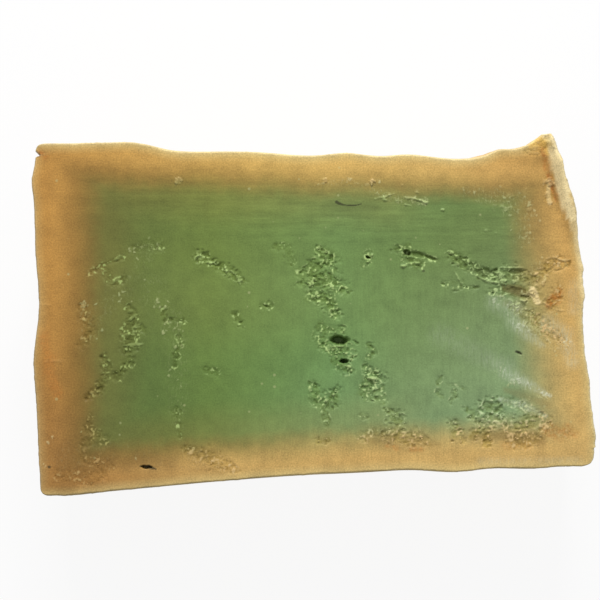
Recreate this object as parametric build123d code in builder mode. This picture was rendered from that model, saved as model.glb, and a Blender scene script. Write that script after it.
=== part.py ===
from build123d import *

import os
from math import cos, pi, radians, sin, tan
from random import Random

# A hand-cut block of olive oil soap, cut in two and lying with the cut face up.
# Millimetres, X along the section, Y across it, Z up from the underside.

# Section at the cut face, a four-sided outline that leans and tapers
lower_length = 79.0  # lower edge, along X
upper_length = 73.2  # upper edge, along X
left_height = 50.2  # left edge, along Y
right_height = 45.1  # right edge, along Y
left_lean = 0.7  # how far the upper left corner stands out past the lower left one
right_rise = 4.4  # how far the lower right corner stands above the lower left one

# Height of the half block and how its sides run down to the underside
cut_height = 30.0  # underside to cut face
base_inset = 0.6
base_corner = 5.0
base_round = 2.2

# Corner radii of the cut edge, anticlockwise from the lower left
cut_corners = (1.1, 1.8, 0.9, 1.1)

# Torn lip that the blade left at the upper right corner, leaning outwards
lip_height = 2.2  # above the cut face, at its peak
lip_reach = 2.0  # how far its tip stands past the upper edge
lip_foot = [  # its inner foot on the cut face, measured from the upper right corner
    (-5.9, 0.4), (-3.8, -0.55), (-1.85, -0.7), (-1.0, -2.1), (-0.4, -4.4), (0.7, -8.3),
    (3.1, -14.6), (5.2, -17.1),
]
lip_crest = [  # its inner edge at the height of its peak, over the same points
    (-5.9, 0.6), (-3.7, 0.6), (-1.4, 1.3), (0.5, -0.4), (1.3, -3.5), (2.7, -8.3),
    (4.2, -14.6), (5.5, -17.1),
]
lip_peak = 2.0  # how far down the right edge its peak is
lip_end = 15.5  # how far down the right edge it ends
lip_start = 5.6  # how far along the upper edge it starts
lip_tip_drop = 0.6  # how far its tip lies below the peak
lip_fall = [(0.5, 0.7), (0.8, 0.25)]  # its top below the peak, as shares of its end and height
crease_width = 0.8
crease_depth = 0.8
cut_margin = 10.0  # how far the cutting shapes stand clear of the block
cut_reach = 30.0  # how far the lip's cutting shapes reach to each side

# Torn pores in the cut face
tear_sides = 9
tear_share = 0.75  # size of a field's shallow tear, as a share of the field
tear_least = 0.55  # fields with shallower pores have no tear
tear_depth_share = 0.4  # depth of a field's shallow tear, as a share of its pores' depth
tear_floor = 0.8  # a tear's floor, as a share of its mouth
pore_sides = 6
pore_sizes = (1.2, 2.3)  # smallest and largest pore across, at a field's middle
pore_fade = 0.6  # how much smaller pores are towards a field's edge
pore_floor = 0.5  # a pore's floor, as a share of its mouth
pore_widths = (0.6, 1.0)  # a pore's width, as a share of its length
pore_depths = (0.6, 1.0)  # a pore's depth, as a share of its field's
pore_jitter = 0.35  # how uneven a pore's outline is
pore_start = 0.3  # how far above the cut face the cutting shape starts
pore_seed = 7

# Wobble of each side, anticlockwise, as (share of the way between its corners' roundings,
# distance outwards)
lower_wobble = [
    (0.03, 0.15), (0.08, 0.0), (0.16, -0.3), (0.27, -0.65), (0.38, -0.9), (0.495, -1.0),
    (0.61, -0.9), (0.69, -0.8), (0.765, -0.15), (0.83, -0.4), (0.91, 0.0), (0.97, -0.1),
]
right_wobble = [
    (0.03, 0.4), (0.09, 0.5), (0.25, 0.55), (0.395, 0.6), (0.49, 1.4), (0.63, 1.9),
    (0.755, 2.0), (0.83, 1.95), (0.89, 1.4), (0.955, 1.2),
]
upper_wobble = [
    (0.02, 1.0), (0.042, 0.2), (0.065, -0.2), (0.088, -0.25), (0.112, -1.05), (0.16, -1.8),
    (0.205, -1.7), (0.275, -1.2), (0.327, -1.5), (0.40, -1.05), (0.44, -1.4), (0.565, -1.1),
    (0.675, -1.05), (0.765, -0.65), (0.795, -0.05), (0.87, 0.25), (0.95, 0.05),
]
left_wobble = [
    (0.04, 0.2), (0.08, 0.65), (0.13, 0.45), (0.20, 0.3), (0.31, 0.2), (0.49, -0.1),
    (0.605, 0.7), (0.73, 0.5), (0.88, 0.2), (0.95, 0.1),
]
wobbles = (lower_wobble, right_wobble, upper_wobble, left_wobble)

# Fields of small pores: (share across, share up, length, width, angle, pores, depth)
pore_fields = [
    (0.178, 0.463, 6.4, 2.8, 80, 10, 1.3),
    (0.156, 0.355, 3.6, 1.6, 60, 4, 0.8),
    (0.119, 0.346, 4.6, 1.3, 80, 5, 0.8),
    (0.107, 0.295, 3.4, 1.3, 0, 4, 0.8),
    (0.134, 0.653, 6.2, 1.3, 30, 6, 0.5),
    (0.150, 0.604, 2.8, 1.6, 0, 3, 0.5),
    (0.345, 0.631, 7.8, 1.3, -35, 8, 0.6),
    (0.527, 0.575, 7.6, 4.6, -70, 15, 0.9),
    (0.553, 0.662, 2.6, 1.8, 90, 4, 0.8),
    (0.540, 0.395, 5.8, 3.6, -60, 9, 0.9),
    (0.613, 0.285, 5.6, 3.6, -70, 11, 0.9),
    (0.515, 0.235, 6.8, 3.6, -65, 11, 0.8),
    (0.521, 0.125, 1.8, 1.2, 0, 2, 0.6),
    (0.645, 0.175, 2.8, 2.4, 0, 5, 1.0),
    (0.643, 0.105, 8.0, 2.6, 0, 9, 0.6),
    (0.750, 0.252, 4.0, 3.6, 0, 6, 0.5),
    (0.817, 0.165, 5.2, 3.4, 10, 10, 0.9),
    (0.754, 0.130, 2.6, 2.4, 0, 4, 0.7),
    (0.885, 0.125, 7.4, 3.4, 5, 10, 0.8),
    (0.802, 0.644, 4.2, 2.6, -40, 7, 0.8),
    (0.904, 0.555, 5.0, 2.6, -25, 8, 0.9),
    (0.965, 0.524, 2.6, 1.8, 60, 4, 0.9),
    (0.909, 0.430, 6.4, 3.4, -30, 6, 0.4),
    (0.311, 0.090, 6.6, 2.2, -15, 5, 0.4),
    (0.073, 0.110, 7.0, 4.2, 0, 6, 0.3),
    (0.088, 0.487, 7.0, 1.8, 75, 6, 0.4),
    (0.105, 0.187, 4.6, 2.6, 60, 5, 0.5),
]

# Larger hollows, each cut by itself: (share across, share up, length, width, angle, depth)
hollows = [
    (0.557, 0.415, 2.9, 1.5, -4, 3.4),
    (0.562, 0.354, 1.4, 1.0, -5, 3.0),
    (0.723, 0.670, 5.2, 1.2, -14, 1.6),
    (0.699, 0.677, 1.6, 1.3, 0, 2.2),
    (0.836, 0.612, 5.2, 1.7, -8, 1.6),
    (0.894, 0.614, 3.4, 1.0, 0, 1.3),
    (0.596, 0.826, 3.3, 0.6, -6, 0.8),
    (0.193, 0.069, 2.1, 0.6, 0, 1.3),
    (0.882, 0.364, 1.1, 0.8, -30, 1.1),
    (0.623, 0.663, 0.9, 0.8, 0, 1.0),
    (0.425, 0.523, 1.3, 1.0, 0, 0.8),
    (0.250, 0.492, 0.9, 0.7, 0, 0.6),
    (0.253, 0.220, 1.1, 0.8, 60, 0.6),
    (0.315, 0.338, 1.1, 0.8, 20, 0.5),
    (0.372, 0.484, 1.0, 0.8, 40, 0.6),
    (0.613, 0.381, 1.1, 0.8, -60, 0.7),
    (0.780, 0.189, 1.2, 0.9, 0, 0.8),
    (0.004, 0.966, 1.2, 1.1, 0, 2.2),
]


def corners():
    """The section's four corners, anticlockwise from the lower left."""
    return [
        Vector(0, 0),
        Vector(lower_length, right_rise),
        Vector(upper_length - left_lean, right_rise + right_height),
        Vector(-left_lean, left_height),
    ]


def on_face(across, up):
    """The place on the cut face at these shares of its length and height."""
    lower_left, lower_right, upper_right, upper_left = corners()
    lower = lower_left + (lower_right - lower_left) * across
    upper = upper_left + (upper_right - upper_left) * across
    return lower + (upper - lower) * up


def rounding(before, corner, after, radius):
    """Start, middle and end of the rounding at one corner."""
    arriving = (corner - before).normalized()
    leaving = (after - corner).normalized()
    half_turn = radians(arriving.get_angle(leaving)) / 2
    run = radius * tan(half_turn)
    inwards = (leaving - arriving).normalized()
    sagitta = radius / cos(half_turn) - radius
    return [corner - arriving * run, corner + inwards * sagitta, corner + leaving * run]


def outline(inset, radii, raggedness, tip_reach):
    """Each corner's rounding, and the points and direction of the side after it."""
    section = corners()
    middle = sum(section, Vector()) / len(section)
    shrink_x = 1 - 2 * inset / lower_length
    shrink_y = 1 - 2 * inset / left_height
    section = [
        middle + Vector((corner - middle).X * shrink_x, (corner - middle).Y * shrink_y)
        for corner in section
    ]
    roundings = [
        rounding(section[index - 1], section[index], section[(index + 1) % 4], radii[index])
        for index in range(4)
    ]
    sides = []
    directions = []
    for index in range(4):
        start = roundings[index][-1]
        along = roundings[(index + 1) % 4][0] - start
        outwards = Vector(along.Y, -along.X).normalized()
        sides.append([
            start + along * share + outwards * distance * raggedness
            for share, distance in wobbles[index]
        ])
        directions.append(along.normalized())
    roundings[2] = [point + Vector(0, tip_reach) for point in roundings[2]]
    return roundings, sides, directions


def torn_outline(length, width, sides, draw):
    """Corners of an uneven closed outline of about this length and width."""
    step = 2 * pi / sides
    corner_list = []
    for index in range(sides):
        angle = step * (index + draw.uniform(-pore_jitter, pore_jitter))
        reach = 1 - draw.uniform(0, pore_jitter)
        corner_list.append((length / 2 * reach * cos(angle), width / 2 * reach * sin(angle)))
    return corner_list


def torn_places():
    """Every tear and pore as (place, length, width, angle, depth, sides, floor share)."""
    draw = Random(pore_seed)
    places = []
    for across, up, length, width, angle, count, depth in pore_fields:
        middle = on_face(across, up)
        if depth > tear_least:
            places.append((
                middle,
                length * tear_share,
                width * tear_share,
                angle,
                depth * tear_depth_share,
                tear_sides,
                tear_floor,
            ))
        for index in range(count):
            along = (index + draw.random()) / count - 0.5
            aside = draw.random() - 0.5
            offset = Vector(length * along, width * aside).rotate(Axis.Z, angle)
            size = draw.uniform(*pore_sizes) * (1 - pore_fade * (abs(along) + abs(aside)))
            places.append((
                middle + offset,
                size,
                size * draw.uniform(*pore_widths),
                draw.uniform(0, 180),
                depth * draw.uniform(*pore_depths),
                pore_sides,
                pore_floor,
            ))
    for across, up, length, width, angle, depth in hollows:
        places.append((on_face(across, up), length, width, angle, depth, tear_sides, pore_floor))
    return places


# Tears and pores, as the shapes that are taken out of the cut face
pores = []
shape_draw = Random(pore_seed)
for place, length, width, angle, depth, sides, floor in torn_places():
    mouth = Plane((place.X, place.Y, cut_height + pore_start)).rotated((0, 0, angle))
    mouth_corners = torn_outline(length, width, sides, shape_draw)
    with BuildPart() as pore:
        with BuildSketch(mouth):
            Polygon(*mouth_corners, align=None)
        with BuildSketch(mouth.offset(-depth - pore_start)):
            Polygon(*[(x * floor, y * floor) for x, y in mouth_corners], align=None)
        loft(ruled=True)
    pores.append(pore.part)

# What the blade left: all the space under its cut, with the lip standing and the face torn
_, lower_right, upper_right, _ = corners()
down_side = (lower_right - upper_right).normalized()
into_face = Vector(down_side.Y, -down_side.X)
foot_line = [upper_right + Vector(x, y) for x, y in lip_foot]
crest_line = [upper_right + Vector(x, y) for x, y in lip_crest]
far_x = lower_length + cut_margin
far_y = left_height + cut_margin
with BuildPart() as left_by_blade:
    with Locations((-left_lean - cut_margin, -cut_margin, cut_height)):
        Box(
            left_lean + lower_length + 2 * cut_margin,
            left_height + 2 * cut_margin,
            cut_height + cut_margin,
            align=(Align.MIN, Align.MIN, Align.MAX),
        )
    # The lip, leaning out from its foot to its crest
    for height, line in ((cut_height, foot_line), (cut_height + lip_height, crest_line)):
        with BuildSketch(Plane.XY.offset(height)):
            Polygon(*line, (far_x, line[-1].Y), (far_x, far_y), (line[0].X, far_y), align=None)
    loft(ruled=True)
    # The lip's torn top, falling from its peak down the right edge
    with BuildSketch(Plane((upper_right.X, upper_right.Y, cut_height), down_side, into_face)):
        Polygon(
            (-cut_margin, lip_height - lip_tip_drop * cut_margin / lip_reach),
            (-lip_reach, lip_height - lip_tip_drop),
            (lip_peak, lip_height),
            *[(lip_end * share, lip_height * height) for share, height in lip_fall],
            (lip_end, 0),
            (lip_end + cut_margin, 0),
            (lip_end + cut_margin, lip_height + cut_margin),
            (-cut_margin, lip_height + cut_margin),
            align=None,
        )
    extrude(amount=cut_reach, both=True, mode=Mode.SUBTRACT)
    # And falling along the upper edge
    with BuildSketch(Plane((upper_right.X, upper_right.Y, cut_height), (1, 0, 0), (0, -1, 0))):
        Polygon(
            (-lip_start - cut_margin, 0),
            (-lip_start, 0),
            (crest_line[2].X - upper_right.X, lip_height),
            (crest_line[2].X - upper_right.X, lip_height + cut_margin),
            (-lip_start - cut_margin, lip_height + cut_margin),
            align=None,
        )
    extrude(amount=cut_reach, both=True, mode=Mode.SUBTRACT)
    # The crease at the lip's foot
    with BuildSketch(Plane.XY.offset(cut_height + pore_start)):
        crease_line = foot_line[2:6]
        Polygon(
            *crease_line,
            *[point + into_face * crease_width for point in reversed(crease_line)],
            align=None,
        )
    extrude(amount=-crease_depth - pore_start, mode=Mode.SUBTRACT)
    add(pores, mode=Mode.SUBTRACT)

# The half block
with BuildPart() as half_block:
    levels = [
        (0, base_inset, [base_corner] * 4, 0, 0),
        (cut_height + lip_height, 0, cut_corners, 1, lip_reach),
    ]
    for height, inset, radii, raggedness, tip_reach in levels:
        roundings, sides, directions = outline(inset, radii, raggedness, tip_reach)
        with BuildSketch(Plane.XY.offset(height)):
            with BuildLine():
                for index in range(4):
                    ThreePointArc(*roundings[index])
                    Spline(
                        roundings[index][-1],
                        *sides[index],
                        roundings[(index + 1) % 4][0],
                        tangents=(directions[index], directions[index]),
                        tangent_scalars=(1, 1),
                    )
            make_face()
    loft(ruled=True)
    fillet(half_block.edges().group_by(Axis.Z)[0], base_round)
    add(left_by_blade.part, mode=Mode.INTERSECT)

# The same, standing with the middle of its underside at the origin
with BuildPart() as soap_bar:
    box = half_block.part.bounding_box()
    with Locations((-box.center().X, -box.center().Y, -box.min.Z)):
        add(half_block.part)

soap_bar.part.label = "soap_bar"
os.makedirs("parts", exist_ok=True)
export_step(soap_bar.part, "parts/soap_bar.step")
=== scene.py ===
import bmesh
import bpy
import numpy as np
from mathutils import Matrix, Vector
from mathutils.bvhtree import BVHTree


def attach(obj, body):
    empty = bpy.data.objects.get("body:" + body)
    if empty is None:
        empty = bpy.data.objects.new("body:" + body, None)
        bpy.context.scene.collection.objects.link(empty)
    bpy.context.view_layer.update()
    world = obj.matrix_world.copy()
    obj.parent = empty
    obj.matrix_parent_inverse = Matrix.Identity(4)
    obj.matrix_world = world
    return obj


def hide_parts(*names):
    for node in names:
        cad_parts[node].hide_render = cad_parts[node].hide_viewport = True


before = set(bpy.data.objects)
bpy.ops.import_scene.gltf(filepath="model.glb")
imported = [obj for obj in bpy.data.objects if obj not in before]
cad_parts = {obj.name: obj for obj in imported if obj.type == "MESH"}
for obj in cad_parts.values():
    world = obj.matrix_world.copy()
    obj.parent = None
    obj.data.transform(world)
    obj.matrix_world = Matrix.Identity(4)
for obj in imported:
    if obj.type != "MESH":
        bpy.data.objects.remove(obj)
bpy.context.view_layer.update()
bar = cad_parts["soap_bar"]
scene = bpy.context.scene

# Frame of the photograph on the cut face, in millimetres

MM = 0.001
FACE = 30.0
LENGTH = 80.0
LENGTH_IN_PIXELS = 566
PIXEL = LENGTH / LENGTH_IN_PIXELS
MIDDLE_X = 314
MIDDLE_Y = 315
IMAGE = 600
CAMERA_HEIGHT = 350.0
SENSOR = 36

# Rays at the solid: where they start, how far they go, and the least distance of its outline from the middle

RAY_START = 90
RAY_TOP = 60
RAY_LENGTH = 200
OUTLINE_LEAST = 15
OUTLINE_LEVELS = (29.7, 30.6, 31.4)
OUTLINE_RAYS = 2600

# Skin of the bar: coarse cells over the cut face, each cut finer where the face is torn

CELLS_ACROSS = 168
CELLS_UP = 106
FINER = 4
COLUMNS = CELLS_ACROSS * FINER
ROWS = CELLS_UP * FINER
BUSY = {"rough": 0.02, "pits": 0.03, "bits": 0.03, "dark": 0.2, "flakes": 0.4}
WALL_LEVELS = (28.6, 25, 17, 9, 4, 2.4, 1.4, 0.7, 0.25, 0.0)
LOWEST_RAY = 0.01
POST_EVENING = 12

# Sides of the cut face: how deep they are nibbled, how far rounded, how fast their wobble fades inwards

RAGGED = {"left": 0.16, "right": 0.3, "bottom": 0.18, "top": 0.18}
ROUNDING = {"left": 0.25, "right": 0.4, "bottom": 0.3, "top": 0.15}
SIDE_EVENING = 1600
FADE_UP = 9
FADE_ACROSS = 14

# Layers of noise: size in millimetres, seed, weight; and the scale of y in the knife waves

NIBBLES = ((1.6, 11, 0.4), (0.6, 12, 0.35), (0.27, 13, 0.25))
HOLE_EDGE = ((0.7, 41, 0.9), (0.3, 42, 0.5))
CRUMB_EDGE = ((0.55, 43, 1.1), (0.27, 44, 0.6))
UNEVEN = ((1.1, 63, 1.0), (0.45, 64, 0.6))
GRAINS = ((0.3, 74, 1.2), (0.6, 75, 0.9))
OPEN_FLOOR = ((1.3, 65, 0.7), (0.5, 66, 0.3))
WAVES = (9, 51, 0.05)
KNIFE_WAVES = (1.4, 52, 0.03)
KNIFE_Y_SCALE = 0.2

# Right edge of the face from the lip's tip down, and the tip's upper edge, in pixels of the photograph

RIGHT_EDGE = [(551, 133.6), (555.5, 138), (558, 144), (559, 150), (561.5, 157), (564, 167), (565.5, 176)]
RIGHT_EDGE += [(568.5, 182), (571.5, 189), (574.5, 197), (576.5, 205), (577.5, 215), (578.5, 226), (579, 238)]
RIGHT_EDGE += [(581, 250), (583, 260), (585.5, 269), (584, 277), (585, 286), (587, 295), (585, 303)]
RIGHT_EDGE += [(584, 318), (585, 334), (586, 346), (587, 358), (590, 374), (591.5, 390), (593, 406)]
RIGHT_EDGE += [(595, 422), (597, 436), (597, 448)]
TIP_EDGE = [(529, 143.5), (533.5, 140), (536, 136.4), (540, 134.2), (545, 133.5), (551, 133.6)]

# The lip stands right of and above this corner, in millimetres; its left flank is thin and its foot soft

LIP_CORNER = (22, 2)
LIP_DRAWN_IN = 0.998
LIP_LOW = [(505, 152, 9), (528, 146, 13), (540, 139, 13)]
LIP_THINS = 0.5
LIP_SOFT = 0.9
LIP_BLUR = 8
LIP_FOOT = [(508, 153, 10), (530, 152, 18), (544, 152, 14)]
FOOT_BLUR = 30
FOOT_STRIDE = 6

# Chips in the torn places: size in millimetres, share of the depth, how far inside the place they start, seed

CHIPS = {"large": (0.75, 0.9, 0.25, 101), "small": (0.36, 0.9, -0.2, 121)}
CHIP_BEND = 0.6
CHIP_LEAN = 0.6
LEAST_DROP = 0.03
MORE_DROP = 0.22
DROP_POWER = 1.6
SINKING = 0.84
STANDING_BY = 0.1
CRACK_DEPTH = 0.05
CRACK_WIDTH = 0.16

# Dried flakes: size, share of their places that is taken, height; crumbs broader than this are made of them

FLAKE = 0.36
FLAKE_SHARE = 0.6
FLAKE_HEIGHT = 0.05
BROAD = 1.7

# Sides of holes and crumbs: from where to where they rise, in shares of the half sizes

OPEN_HOLE_SIDE = (1.1, 0.45)
OPEN_HOLE_RAGGED = 0.25
HOLE_SIDE = (1.1, 0.5)
CRUMB_SIDE = (1.25, 0.6)
BROAD_SIDE = (1.3, 0.7)

# Crumbly places: how deep they are torn, then x, y and half width along a path, in pixels of the photograph

TORN = {
    "sliver at the left": (0.3, [
        (88, 275, 1.5), (100, 267, 2.5), (108, 263, 1.5), (118, 259, 3), (124, 256, 2),
    ]),
    "arc under it": (0.3, [(102, 268, 2.5), (110, 273, 3), (108, 281, 3), (114, 285, 3.5), (125, 278, 3)]),
    "smear above them": (0.15, [(132, 250, 5), (146, 245, 6), (160, 248, 5)]),
    "cluster at the left": (0.55, [
        (128, 310, 5), (134, 317, 6), (128, 330, 7), (131, 342, 7), (127, 351, 5),
    ]),
    "its tail": (0.5, [(130, 358, 4), (124, 368, 5), (116, 378, 5)]),
    "cluster beside the rind": (0.55, [
        (104, 358, 4), (107, 368, 4), (103, 380, 5), (99, 390, 5), (86, 397, 3),
    ]),
    "cluster in the left rind": (0.35, [(82, 303, 3), (84, 318, 6), (90, 332, 6), (82, 345, 5)]),
    "crumbs at the left": (0.35, [(162, 309, 2.5), (165, 321, 3), (172, 319, 1.5), (185, 322, 2.5)]),
    "crumbs lower down": (0.35, [(180, 338, 2.5), (179, 346, 1.5), (176, 356, 4), (174, 366, 3)]),
    "crumbs lowest down": (0.35, [(176, 409, 3.5), (177, 421, 3), (180, 437, 2)]),
    "diagonal": (0.75, [(198, 255, 4), (212, 263, 6), (226, 270, 5), (243, 281, 3.5)]),
    "specks above the diagonal": (0.25, [(276, 246, 4), (288, 248, 4), (292, 262, 5)]),
    "big cluster, upper": (0.75, [(319, 250, 5), (331, 258, 8), (318, 266, 9), (302, 273, 6)]),
    "big cluster, middle": (0.7, [(305, 282, 7), (322, 280, 12), (334, 284, 8), (347, 290, 4)]),
    "big cluster, lower": (0.75, [(314, 294, 8), (328, 302, 8), (334, 312, 6), (334, 319, 3)]),
    "pit right of it": (0.2, [(367, 254, 3), (370, 260, 3.5), (363, 266, 3)]),
    "above the holes": (0.5, [(320, 328, 5), (330, 331, 6), (341, 330, 5)]),
    "round the holes": (0.75, [(322, 343, 7), (332, 350, 8), (345, 352, 7)]),
    "between the holes": (0.75, [(335, 360, 5), (343, 367, 6), (349, 370, 4)]),
    "right of the holes": (0.4, [(369, 345, 3), (373, 352, 4), (368, 358, 3)]),
    "below the holes": (0.75, [(366, 367, 3.5), (374, 378, 10), (368, 390, 9), (378, 397, 7)]),
    "fork": (0.7, [(312, 384, 5), (316, 398, 8), (329, 403, 9), (336, 391, 4)]),
    "tail of the fork": (0.3, [(325, 412, 5), (327, 424, 4)]),
    "speck below the fork": (0.45, [(319, 442, 3), (328, 440, 3)]),
    "speck right of the fork": (0.5, [(361, 415, 2.5), (366, 416, 3)]),
    "lower middle": (0.65, [(388, 411, 4), (397, 418, 7), (402, 427, 5)]),
    "lower middle rind": (0.5, [(386, 434, 7), (408, 438, 9), (425, 441, 6)]),
    "left of that": (0.3, [(362, 436, 4), (374, 432, 4)]),
    "ring, upper left": (0.45, [(438, 382, 3), (440, 378, 2)]),
    "ring, lower left": (0.35, [(437, 393, 2), (442, 398, 2.2)]),
    "ring, right": (0.55, [(454, 390, 2.5), (455, 395, 3.5), (451, 401, 2)]),
    "ring, arc": (0.2, [(449, 385, 2), (458, 385, 2), (464, 389, 2)]),
    "speck right of the ring": (0.5, [(466, 409, 3), (472, 413, 3)]),
    "dark cluster": (0.7, [(452, 424, 5), (458, 432, 7), (463, 441, 4)]),
    "lower right, left part": (0.75, [(477, 416, 7), (490, 408, 9), (503, 416, 7), (482, 424, 7)]),
    "lower right, below": (0.6, [(474, 434, 6), (486, 432, 7), (487, 442, 5)]),
    "lower right, middle": (0.6, [(508, 424, 8), (522, 430, 9), (530, 420, 7), (540, 416, 5)]),
    "lower right rind": (0.4, [(510, 440, 6), (528, 440, 8), (545, 432, 7), (549, 420, 5)]),
    "lower streak": (0.3, [(506, 401, 4), (520, 405, 6), (536, 413, 5)]),
    "end of the lower right": (0.1, [(550, 430, 8), (564, 432, 8), (574, 432, 5)]),
    "slot": (0.55, [(397, 249, 4), (408, 247, 4)]),
    "groove of the slot": (0.15, [(412, 254, 4), (438, 261, 3)]),
    "crumbs under the slot": (0.6, [(404, 259, 4), (414, 262, 5), (422, 266, 4)]),
    "left of the cleft": (0.65, [(452, 254, 5), (462, 261, 7), (470, 267, 6)]),
    "below the ridge": (0.2, [(443, 284, 3), (453, 283, 4), (466, 288, 3), (478, 287, 2)]),
    "cleft": (0.45, [(478, 272, 6), (500, 277, 8), (520, 274, 7)]),
    "below the cleft": (0.5, [(493, 292, 4), (508, 290, 6), (522, 293, 8), (535, 297, 7)]),
    "right of the cleft": (0.45, [(524, 278, 7), (538, 276, 7), (550, 268, 5)]),
    "rusty patch": (0.5, [(550, 306, 5), (555, 298, 6), (560, 290, 4)]),
    "right rind": (0.35, [(545, 266, 5), (556, 262, 6), (567, 264, 5)]),
    "speckled band": (0.35, [(514, 306, 5), (524, 313, 7), (538, 322, 8), (552, 333, 6), (566, 343, 3)]),
    "ledge of the lip": (0.2, [(526, 152, 3), (538, 152, 4)]),
    "foot of the lip": (0.2, [(548, 181, 4), (550, 198, 5)]),
    "tip of the lip": (0.22, [(538, 141, 5), (545, 142, 6), (542, 149, 4)]),
    "lower left rind": (0.35, [(187, 448, 4), (200, 455, 8), (218, 462, 8), (236, 470, 4)]),
    "lower left haze": (0.3, [(90, 415, 3), (88, 430, 5), (103, 440, 6), (84, 442, 5)]),
    "lower left corner": (0.2, [(85, 458, 6), (108, 468, 8), (92, 478, 8), (60, 476, 7)]),
    "specks": (0.5, [(262, 306, 4), (269, 306, 4)]),
    "specks left of the middle": (0.45, [(234, 313, 3), (240, 322, 4)]),
    "specks low": (0.35, [(206, 370, 4), (215, 373, 4)]),
}

# Open holes, then ragged pits: x, y, half length, half width, turn in degrees, depth in millimetres

OPEN_HOLES = {
    "open holes": [(339.2, 340.2, 10.2, 5, -2, 1.5), (344, 361, 4.8, 2.8, 0, 1.5)],
    "slot": [
        (407, 252.5, 4.4, 3.2, -25, 0.9), (418, 254.5, 9, 3.4, -15, 0.35),
        (430, 257.5, 9.5, 2, -20, 0.3),
    ],
    "lobe": [(462.5, 263.5, 8, 3.4, -60, 0.3)],
}
HOLES = {
    "beside the open holes": [
        (352, 359, 4, 1.6, 70, 0.23), (356, 342.5, 4, 1.8, -35, 0.23),
        (371.5, 347, 3.6, 1.2, -45, 0.2), (373, 353, 2, 1.6, 0, 0.17),
    ],
    "below the open holes": [
        (364.5, 367, 5.5, 2.4, 80, 0.17), (373, 374, 4.6, 2, -38, 0.26), (363, 387, 3.4, 2.2, 0, 0.2),
        (381, 389, 4.4, 2.6, 45, 0.2), (377, 398, 4.4, 2, -10, 0.2),
    ],
    "fork": [
        (314.5, 389, 6, 2, 85, 0.17), (334.5, 392, 4.6, 1.6, 90, 0.2),
        (316, 402, 4, 2.6, -40, 0.2), (328, 405, 5.5, 2, 65, 0.2),
        (337.5, 407, 4.2, 1.5, -55, 0.17),
    ],
    "big cluster": [
        (330.7, 258.5, 4.6, 2.2, 80, 0.3), (320, 249.7, 2, 1.2, 10, 0.17),
        (301, 272.3, 2.2, 1.8, 0, 0.2), (318, 265, 3, 1.8, 60, 0.23), (314, 277, 4, 1.8, -15, 0.23),
        (321, 275, 3.8, 2.2, -45, 0.26), (318.6, 285, 4.6, 2.8, -15, 0.2),
        (311, 292, 3.4, 1.2, -70, 0.17), (316, 299.5, 3.4, 2, -10, 0.2),
        (326, 300.5, 2.8, 1.4, -65, 0.23), (330, 306, 4.6, 2.8, -40, 0.23),
        (334, 313, 4.8, 2.4, -70, 0.28), (334.2, 277.8, 1.6, 1.4, 0, 0.2),
        (336.4, 284.8, 1.5, 1.3, 0, 0.17),
    ],
    "lone pit": [(368.4, 257.5, 2.9, 1.7, -30, 1.3)],
    "lobe": [
        (460, 257, 2.2, 1.6, 0, 0.23), (453, 264, 1.8, 1.5, 0, 0.17), (471, 264, 2.6, 1.2, 0, 0.17),
    ],
    "clefts": [
        (484, 272, 13.5, 4, -8, 0.3), (485, 276, 4.4, 1.6, -10, 0.3), (496, 269.6, 2.8, 1.6, 20, 0.33),
        (514, 271.5, 11.5, 3, 0, 0.26),
    ],
    "under the ridge": [
        (443, 284, 3, 1.6, 0, 0.17), (456, 291, 4, 1.6, 0, 0.13), (466.5, 287, 1.8, 1.2, 0, 0.17),
        (476, 287.5, 3.6, 1.4, 5, 0.15), (493, 292.6, 2.2, 1.4, -30, 0.5), (499, 291, 2, 1, 20, 0.17),
    ],
    "brown band": [(516, 290, 11, 3.4, -4, 0.18), (525, 296.5, 5, 1.8, 0, 0.26)],
    "crack": [
        (557, 263, 5, 1, -35, 0.08), (560, 270, 3.4, 1.2, 15, 0.08), (566, 266, 4.5, 0.9, 32, 0.08),
    ],
    "nick": [(519, 353, 2.8, 1.1, -35, 0.2)],
    "lower right": [
        (458, 431, 5, 4, 20, 0.2), (492, 409, 8, 4, -20, 0.18), (534, 424, 5, 4, 0, 0.15),
        (520, 438, 5, 3, 0, 0.15),
    ],
    "left": [
        (110, 282, 4, 1, -15, 0.11), (140.5, 329, 6.2, 7, 0, 0.13), (131, 338, 4.5, 1.1, 15, 0.13),
        (100, 388, 4.5, 2, 20, 0.18), (104, 372, 4, 1.4, 80, 0.13), (122, 370, 4.5, 1.2, 60, 0.13),
    ],
    "diagonal": [
        (204, 258.5, 3.6, 1.4, -40, 0.14), (219, 266, 4.6, 1.5, -20, 0.14),
        (234, 276, 3.6, 1.3, -50, 0.14),
    ],
    "specks": [
        (266, 306, 3.2, 2, -10, 0.26), (236, 315, 2, 1.2, -30, 0.17), (241, 322, 2.4, 1.4, 20, 0.17),
    ],
    "slit in the rind": [(148, 467, 8, 1.6, -4, 0.9)],
}

# Crumbs that stand up: x, y, half length, half width, turn in degrees, height in millimetres

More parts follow.
